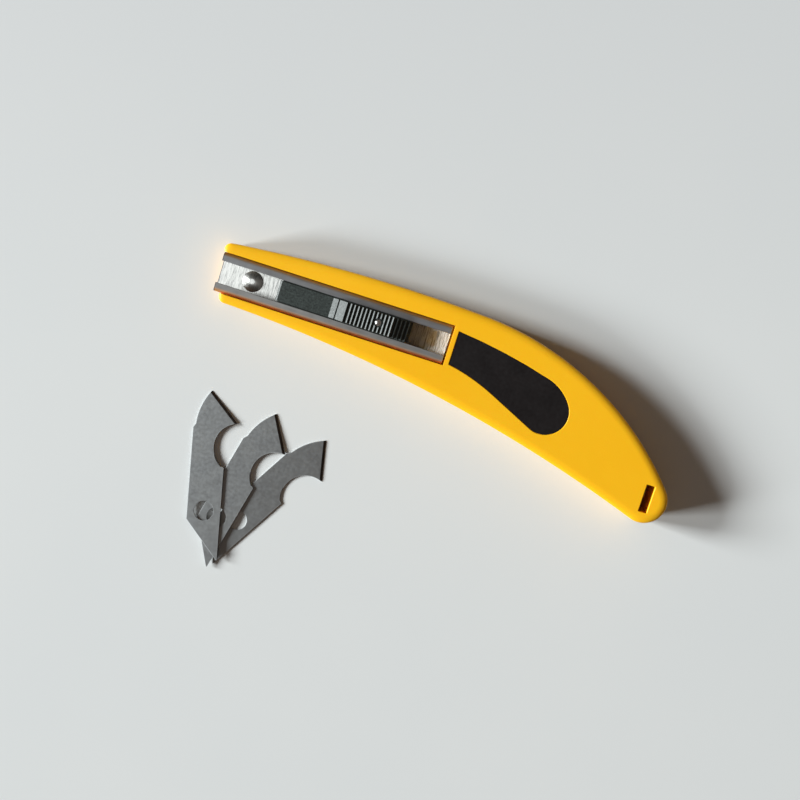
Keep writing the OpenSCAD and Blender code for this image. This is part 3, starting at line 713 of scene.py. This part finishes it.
for face in blade_channel.data.polygons:
    on_floor = face.center[2] < floor_z + boss_h + channel_edge and abs(face.center[1]) < brushed_half
    if on_floor and face.normal[2] > 0.2:
        face.material_index = 1
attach(blade_channel, "handle")
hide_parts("blade_channel")

# ----------------------------------------
# Screws: plated steel. Four pan-head case screws come through the back into the upper half, and a
# flush countersunk one, hidden under the slider, holds the channel. All have cross recesses.
# ----------------------------------------
screw_head_h = 0.0016
screw_l = 0.0082
screw_edge = 0.0002
cross_h = 0.0007
channel_screw_l = 0.0039
channel_screw_tip = 0.0003
channel_cross_h = 0.00045


def cross_tool(z0, z1, centre=(0, 0)):
    """Cutter of a cross recess."""
    arm, half = 0.0012, 0.00025
    bars = []
    for turn in (0, math.pi / 2):
        c, s = math.cos(turn), math.sin(turn)
        corners = [(arm, -half), (arm, half), (-arm, half), (-arm, -half)]
        bars.append(slab("bar", [Vector((centre[0] + c * x - s * y, centre[1] + s * x + c * y))
                                 for x, y in corners], z0, z1))
    combine(bars[0], bars[1:], "UNION")
    return bars[0]


head_z = screw_seat_z - screw_head_h
screw = turned("screw", [(screw_head_r - screw_edge, head_z),
                         (screw_head_r - 0.3 * screw_edge, head_z + 0.3 * screw_edge),
                         (screw_head_r, head_z + screw_edge), (screw_head_r, screw_seat_z),
                         (screw_r, screw_seat_z), (screw_r, screw_seat_z + screw_l - 2 * screw_edge),
                         (screw_r - screw_edge, screw_seat_z + screw_l)], count=48)
combine(screw, [cross_tool(head_z - CUT, head_z + cross_h)])
smooth(screw)

screw_steel, tree, shader, coords = new_shader("screw_steel", 1.0)
plating = mottled(tree, coords, 700, 3, 0, 1)
paint(tree, shader, blend(tree, plating, (0.52, 0.53, 0.55), (0.62, 0.63, 0.64)),
      mottled(tree, coords, 1800, 2, 0.28, 0.42))
relief(tree, shader, noise(tree, coords, 3000, 2), 0.000008)


def new_rig(name, **kinds):
    """A geometry node tree with named inputs: (tree, its input sockets by name)."""
    rig = bpy.data.node_groups.new(name, "GeometryNodeTree")
    for key, kind in kinds.items():
        rig.interface.new_socket(name=key, in_out="INPUT", socket_type="NodeSocket" + kind)
    rig.interface.new_socket(name="Made", in_out="OUTPUT", socket_type="NodeSocketGeometry")
    return rig, rig.nodes.new("NodeGroupInput").outputs


def set_copies(rig, points, shape, finish):
    """Ends the tree in a copy of the shape on each point, all one mesh of one finish; returns the copier."""
    picked = rig.nodes.new("GeometryNodeObjectInfo")
    placed = rig.nodes.new("GeometryNodeInstanceOnPoints")
    made = rig.nodes.new("GeometryNodeRealizeInstances")
    painted = rig.nodes.new("GeometryNodeSetMaterial")
    end = rig.nodes.new("NodeGroupOutput")
    wire(rig, (shape, picked.inputs["Object"]), (points, placed.inputs["Points"]),
         (picked.outputs["Geometry"], placed.inputs["Instance"]), (placed.outputs[0], made.inputs[0]),
         (made.outputs[0], painted.inputs["Geometry"]), (finish, painted.inputs["Material"]),
         (painted.outputs[0], end.inputs[0]))
    return placed


def run_rig(piece, rig, **values):
    """Works the tree into the piece's mesh, with its inputs set by their names."""
    modifier = piece.modifiers.new("rig", "NODES")
    modifier.node_group = rig
    for item in rig.interface.items_tree:
        if item.item_type == "SOCKET" and item.name in values:
            modifier[item.identifier] = values[item.name]
    settle(piece)


screw_rig, given = new_rig("screws_at_points", Spots="Geometry", Screw="Object", Finish="Material")
set_copies(screw_rig, given["Spots"], given["Screw"], given["Finish"])
spots = bpy.data.meshes.new("case_screws")
spots.from_pydata([(x, y, 0) for x, y in case_screw_spots], [], [])
case_screws = new_piece("case_screws_set", spots)
run_rig(case_screws, screw_rig, Screw=screw, Finish=screw_steel)
bpy.data.objects.remove(screw)
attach(case_screws, "handle")
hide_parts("case_screws")

channel_screw = turned("channel_screw_body",
                       [(channel_screw_r - screw_edge, parting_z - channel_screw_l),
                        (channel_screw_r, parting_z - channel_screw_l + channel_screw_tip),
                        (channel_screw_r, parting_z), (channel_screw_head_r, floor_z)],
                       (channel_screw_x, 0), 48)
combine(channel_screw, [cross_tool(floor_z - channel_cross_h, floor_z + CUT, (channel_screw_x, 0))])
smooth(channel_screw)
channel_screw.data.materials.append(screw_steel)
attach(channel_screw, "handle")
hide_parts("channel_screw")

# ----------------------------------------
# Label: a bare plate of satin black film on stiff card, pressed into its recess just below the
# face, with a fine grain and slightly rounded edges.
# ----------------------------------------
label_t = 0.0003
label_gap = 0.00012
label_edge = 0.00006
label_z = body_t - recess_d
label = slab("label_plate", label_outline(label_gap), label_z, label_z + label_t, label_edge)
smooth(label)
label_film, tree, shader, coords = new_shader("label_film")
haze = span(tree, noise(tree, coords, 160, 4), 0.35, 0.7, 0, 1)
paint(tree, shader, blend(tree, haze, (0.006, 0.0045, 0.005), (0.010, 0.008, 0.0085)),
      mottled(tree, coords, 900, 3, 0.38, 0.5))
shader.inputs["Specular IOR Level"].default_value = 0.38
relief(tree, shader, noise(tree, coords, 5200, 2), 0.000006)
label.data.materials.append(label_film)
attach(label, "handle")
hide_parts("label")

# ----------------------------------------
# Slider plate: black moulded plastic. Its foot runs under the channel's lips, the flat front
# lies over the blade's shank, and its rear edge rises in a short shoulder.
# ----------------------------------------
slider_rest = 0.0095
slider_l = 0.0482
slider_w = 0.0069
foot_gap = 0.00015
plate_proud = 0.0002
plate_flat_l = 0.0197
shoulder_run = 0.0022
ramp_run = 0.0031
ramp_slope = math.tan(math.radians(27))
grip_gap = 0.0002
rib_h = 0.0005
front_land = 0.0008
rear_land = 0.00048
front_lean = 0.0009
front_bevel = 0.00065
slider_edge = 0.0001
foot_inset = 0.0012
over_boss_gap = 0.0003
rivet_r = 0.0009
rivet_gap = 0.00005
spring_w = 0.006
spring_room = 0.0006  # the pocket's spare length at either end of the spring
hair = 1e-5  # keeps two faces that nearly meet apart
slider_floor_z = floor_z + boss_h + over_boss_gap
plate_end_s = slider_l - 0.0004  # the grip reaches a little further back
plate_top_z = lip_z + plate_proud
foot_top_z = lip_z - sheet_t - foot_gap
foot_w = channel_w - 2 * sheet_t - 2 * foot_gap
shoulder_s = plate_flat_l + shoulder_run
shoulder_z = plate_top_z + shoulder_run * ramp_slope
grip_seat_z = plate_top_z - 0.0008
grip_s = shoulder_s + grip_gap
grip_flat_z = shoulder_z + ramp_run * ramp_slope - rib_h
ribs_s = grip_s + ramp_run + front_land
RIBS = 12
REAR_RIBS = 4
RIVET_RIB = 8  # whole ribs ahead of the rivet
rib_pitch = (slider_l - rear_land - ribs_s) / (RIBS + REAR_RIBS)
rivet_s = ribs_s + RIVET_RIB * rib_pitch
spring_tip_s = plate_flat_l - 0.0025
spring_tail_s = slider_l - 0.0018
spring_seat_z = slider_floor_z + 0.0011
rivet_x = slider_rest + rivet_s


def side_piece(name, profile, width, edge):
    """A profile of (distance behind the slider's front edge, z), drawn across the channel."""
    return slab(name, [Vector((slider_rest + s, z)) for s, z in profile], -width / 2, width / 2, edge, "y")


slider_plate = side_piece("slider_plate_body",
                          [(0, slider_floor_z), (plate_end_s, slider_floor_z), (plate_end_s, grip_seat_z),
                           (shoulder_s, grip_seat_z), (shoulder_s, shoulder_z), (plate_flat_l, plate_top_z),
                           (front_lean + front_bevel / 2, plate_top_z),
                           (front_lean - front_bevel / 4, plate_top_z - 0.4 * front_bevel),
                           (front_lean - 0.6 * front_bevel, plate_top_z - 1.2 * front_bevel)],
                          slider_w, slider_edge)
half = foot_w / 2
foot_low_z = slider_floor_z + 2 * hair
foot_edge = fold_r - sheet_t
foot_profile = [(-half, foot_low_z), (half, foot_low_z),
                (half, foot_top_z - foot_edge), (half - foot_edge, foot_top_z),
                (foot_edge - half, foot_top_z), (-half, foot_top_z - foot_edge)]
foot = slab("foot", [Vector(p) for p in foot_profile], slider_rest + foot_inset,
            slider_rest + slider_l - foot_inset, slider_edge, "x")
combine(slider_plate, [foot], "UNION")
half = spring_w / 2 + foot_gap
spring_pocket = rectangle(slider_rest + spring_tip_s - spring_room,
                          slider_rest + spring_tail_s + spring_room, -half, half)
combine(slider_plate, [slab("spring_pocket", spring_pocket, slider_floor_z - CUT, spring_seat_z),
                       column((rivet_x, 0), rivet_r + rivet_gap, slider_floor_z, plate_top_z + CUT)])
smooth(slider_plate)

slider_plastic, tree, shader, coords = new_shader("slider_plastic")
mottle = span(tree, noise(tree, coords, 1500, 4, 0.7), 0.35, 0.68, 0, 1)
paint(tree, shader, blend(tree, mottle, (0.022, 0.026, 0.025), (0.060, 0.073, 0.069)),
      mottled(tree, coords, 2200, 3, 0.38, 0.48))
cross_grain = noise(tree, stretch(tree, coords, (1400, 4200, 2500), math.radians(35)), 1.0, 3, 0.6)
shader.inputs["Specular IOR Level"].default_value = 0.3
relief(tree, shader, cross_grain, 0.000022)
slider_plate.data.materials.append(slider_plastic)
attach(slider_plate, "slider")
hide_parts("slider_plate")

# ----------------------------------------
# Thumb grip: a second black moulding seated on the plate behind a fine joint, with a ramp that
# meets the shoulder, a row of ribs for the thumb, and smaller steps down its rear slope.
# ----------------------------------------
crest_l = 0.00015  # the ramp's crest falls to the flat over this length
rib_groove = 0.00032
rib_root = 0.0001
rib_edge = 0.00004
rear_step = 0.0003
rear_edge_h = 0.0003
rivet_head_r = 0.0013
rivet_head_gap = 0.00025
rear_s = ribs_s + RIBS * rib_pitch
rear_z = grip_flat_z - rear_step
rear_end_z = grip_seat_z + rear_edge_h
rear_fall = (rear_z - rear_end_z) / (slider_l - rear_s)
thumb_grip = side_piece("thumb_grip_body",
                        [(grip_s, grip_seat_z), (slider_l, grip_seat_z), (slider_l, rear_end_z),
                         (rear_s, rear_z), (rear_s, grip_flat_z), (grip_s + ramp_run + crest_l, grip_flat_z),
                         (grip_s + ramp_run, grip_flat_z + rib_h), (grip_s, shoulder_z)],
                        slider_w, slider_edge)
rib_l = rib_pitch - rib_groove
rib_half = slider_w / 2 - rib_edge
rib_profile = [(0, -rib_root), (rib_l, -rib_root), (0.7 * rib_l, rib_h), (0.6 * rib_l, rib_h),
               (0.2 * rib_l, 0.44 * rib_h)]
rib = slab("rib", [Vector(p) for p in rib_profile], -rib_half, rib_half, rib_edge, "y")

rib_rig, given = new_rig("ribs_in_a_row", Rib="Object", Ribs="Int", First="Vector", Pitch="Vector",
                         Lean="Vector", Finish="Material")
line = rib_rig.nodes.new("GeometryNodeMeshLine")
copier = set_copies(rib_rig, line.outputs[0], given["Rib"], given["Finish"])
wire(rib_rig, (given["Ribs"], line.inputs["Count"]), (given["First"], line.inputs["Start Location"]),
     (given["Pitch"], line.inputs["Offset"]), (given["Lean"], copier.inputs["Rotation"]))
rows = []
for count, start, base, fall in ((RIBS, ribs_s, grip_flat_z, 0.0), (REAR_RIBS, rear_s, rear_z, rear_fall)):
    row = new_piece("rib_row", bpy.data.meshes.new("rib_row"))
    run_rig(row, rib_rig, Rib=rib, Ribs=count, First=(slider_rest + start, 0, base),
            Pitch=(rib_pitch, 0, -rib_pitch * fall), Lean=(0, math.atan(fall), 0), Finish=slider_plastic)
    rows.append(row)
bpy.data.objects.remove(rib)
combine(thumb_grip, rows, "UNION")
rivet_spot = (rivet_x, 0)
combine(thumb_grip, [column(rivet_spot, rivet_head_r + rivet_head_gap, grip_flat_z + hair, grip_flat_z + CUT),
                     column(rivet_spot, rivet_r + rivet_gap, grip_seat_z - CUT, grip_flat_z + CUT)])
thumb_grip.data.materials.clear()
thumb_grip.data.materials.append(slider_plastic)
smooth(thumb_grip)
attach(thumb_grip, "slider")
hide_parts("thumb_grip")

# ----------------------------------------
# Slider rivet and leaf spring: a bright domed steel rivet holds grip, plate and spring together,
# and the spring's two pads press on the channel's floor so that the slider stays where it is set.
# ----------------------------------------
rivet_head_h = 0.00085
rivet_foot_r = rivet_head_r - 0.0002
rivet_foot_h = 0.0004
rivet_edge = 0.00005
spring_t = 0.0004
spring_z = spring_seat_z - spring_t
dome_r = (rivet_head_r ** 2 + rivet_head_h ** 2) / (2 * rivet_head_h)
dome_turns = [math.asin(rivet_head_r / dome_r) * (1 - k / 12) for k in range(1, 12)]
slider_rivet = turned("slider_rivet_body",
                      [(rivet_foot_r - rivet_edge, spring_z - rivet_foot_h),
                       (rivet_foot_r, spring_z - rivet_foot_h + rivet_edge), (rivet_foot_r, spring_z),
                       (rivet_r, spring_z), (rivet_r, grip_flat_z), (rivet_head_r, grip_flat_z)]
                      + [(dome_r * math.sin(a), grip_flat_z + rivet_head_h - dome_r * (1 - math.cos(a)))
                         for a in dome_turns], (rivet_x, 0), 48)
smooth(slider_rivet, 50)
rivet_steel, tree, shader, coords = new_shader("rivet_steel", 1.0)
plating = mottled(tree, coords, 1500, 3, 0, 1)
paint(tree, shader, blend(tree, plating, (0.70, 0.71, 0.72), (0.80, 0.80, 0.80)),
      mottled(tree, coords, 2500, 2, 0.2, 0.34))
relief(tree, shader, noise(tree, coords, 4000, 2), 0.000006)
slider_rivet.data.materials.append(rivet_steel)
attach(slider_rivet, "slider")
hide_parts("slider_rivet")

spring_steel, tree, shader, coords = new_shader("spring_steel", 1.0)
rolled = noise(tree, stretch(tree, coords, (120, 2600, 2600)), 1.0, 3, 0.6)
streaks = span(tree, rolled, 0.3, 0.7, 0, 1)
paint(tree, shader, blend(tree, streaks, (0.42, 0.43, 0.44), (0.54, 0.55, 0.56)),
      span(tree, rolled, 0.3, 0.7, 0.28, 0.42))
relief(tree, shader, rolled, 0.000008)
slider_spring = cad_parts["slider_spring"]
slider_spring.data.materials.clear()
slider_spring.data.materials.append(spring_steel)

# ----------------------------------------
# Hook blades: three spare blades stamped from satin tool steel, with a round hole for the boss and
# a round notch behind the hook. The hook's front edge is ground; they lie fanned over each other.
# ----------------------------------------
blade_w = 0.0122
blade_t = 0.0006
blade_corner_r = 0.0002
blade_hole_gap = 0.0001
blade_hole_r = boss_r + blade_hole_gap
blade_hole_edge = 0.00005
blade_reach = 0.0434
blade_shank_l = 0.0178
shank_slant_l = 0.0143
hook_l = 0.0123
hook_back_r = 0.022
hook_step = 0.0009
hook_rise = 0.0002
hook_heading = math.radians(-4.6)
notch_r = 0.0091
notch_back = 0.0201  # the notch's centre, behind the hook's point
notch_drop = 0.011  # and below the blade's middle
notch_lip = 0.0011
shoulder_slant = 0.0004
bevel_w = 0.0009
edge_land = 0.0001  # thickness left along the ground edge
grind_out = 0.0004  # how far the grinding cutter stands out past the edge
blade_top = blade_w / 2
spine_end_x = blade_reach - hook_l
notch_c = Vector((blade_reach - notch_back, -notch_drop))
heel_a = math.radians(7)
hook_point = Vector((blade_reach, hook_rise))
hook_heel = notch_c + notch_r * Vector((math.cos(heel_a), math.sin(heel_a)))
shoulder_y = notch_lip - blade_top
shoulder_a = math.pi - math.asin((shoulder_y - notch_c[1]) / notch_r)
shoulder = notch_c + notch_r * Vector((math.cos(shoulder_a), math.sin(shoulder_a)))
hook_back = smooth_path((spine_end_x, blade_top - hook_step), hook_heading, [(hook_back_r, -35)])
blade_outline = ([Vector((shank_slant_l - blade_shank_l, blade_top)),
                  Vector((spine_end_x - 1.5 * hook_step, blade_top))]
                 + hook_back[:-1] + [hook_point] + arc(notch_c, notch_r, heel_a, shoulder_a, 30)
                 + [shoulder, Vector((shoulder[0] - shoulder_slant, -blade_top)),
                    Vector((-blade_shank_l, -blade_top))])[::-1]
# Each blade: the place and height of its hole, then its two tilts and the heading at which it lies, in
# degrees. The third lies flat, and the others lean on those below.
blade_spots = [(0.006, -0.0838, 1.834 * blade_t), (0.011, -0.0847, 1.068 * blade_t), (0.0183, -0.0834, 0)]
blade_lift = blade_t / blade_w
blade_turns = [(-41.4 * blade_lift, 29.2 * blade_lift, 102.9),
               (-46.9 * blade_lift, 15 * blade_lift, 76.9), (0, 0, 59.2)]


def blade_shader(name, dark, light, low, high, turn):
    """Satin steel with faint blotches and grinding lines along one direction."""
    material, tree, shader, coords = new_shader(name, 1.0)
    lines = noise(tree, stretch(tree, coords, (160, 3200, 3200), turn), 1.0, 3, 0.6)
    blotches = mottled(tree, coords, 180, 3, 0, 1)
    paint(tree, shader, blend(tree, blotches, dark, light), mottled(tree, coords, 900, 3, low, high))
    relief(tree, shader, lines, 0.000006)
    return material


rolling, grinding = math.radians(-75), math.radians(15)
blade_steel = blade_shader("blade_steel", (0.385, 0.405, 0.42), (0.425, 0.445, 0.455), 0.40, 0.46, rolling)
# The ground bevel is painted near black: painted shade, as it faces away from the lamps.
shaded_ground_steel = blade_shader("shaded_ground_steel", (0.06, 0.05, 0.045), (0.12, 0.105, 0.095), 0.3, 0.45, grinding)
rim_steel = blade_shader("rim_steel", (0.40, 0.41, 0.42), (0.46, 0.47, 0.48), 0.72, 0.8, rolling)

edge_dir = (hook_heel - hook_point).normalized()
edge_out = Vector((-edge_dir[1], edge_dir[0]))
bevel_rise = blade_t - edge_land
bevel_normal = Vector((edge_out[0] * bevel_rise, edge_out[1] * bevel_rise, bevel_w)).normalized()
grind_profile = [(-bevel_w, blade_t + hair), (grind_out, blade_t + hair), (grind_out, edge_land),
                 (-2 * hair, edge_land)]
grind_ends = (hook_point - edge_dir * CUT, hook_heel + edge_dir * CUT)
# The stamped edge is sheared square below and drawn over at the top: (distance in, height) of its rings.
stamped_edge = [(0.00004, 0), (0, 0.00004), (0, blade_t - 0.00006), (0.00001, blade_t - 0.00004),
                (0.00013, blade_t)]
rounded = eased(blade_outline, blade_corner_r)
for index, (spot, turns) in enumerate(zip(blade_spots, blade_turns), 1):
    blade = loft(f"hook_blade_{index}_body",
                 [[(*p, z) for p in inset(rounded, depth)] for depth, z in stamped_edge])
    hole = opening("hole", circle((0, 0), blade_hole_r, 56), 0, blade_t, blade_hole_edge, both=True)
    combine(blade, [hole])
    grind = loft("grind", [[(*(p + edge_out * out), z) for out, z in grind_profile] for p in grind_ends])
    combine(blade, [grind])
    smooth(blade, 35)
    for steel in (blade_steel, shaded_ground_steel, rim_steel):
        blade.data.materials.append(steel)
    for face in blade.data.polygons:
        if face.normal.dot(bevel_normal) > 0.97:
            face.material_index = 1
        elif 0.2 < face.normal[2] < 0.97:
            face.material_index = 2
    blade.data.transform(Matrix.Translation(spot) @ Matrix.Rotation(math.radians(turns[2]), 4, "Z")
                         @ Matrix.Rotation(math.radians(turns[1]), 4, "Y")
                         @ Matrix.Rotation(math.radians(turns[0]), 4, "X"))
    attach(blade, "handle")
    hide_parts(f"hook_blade_{index}")
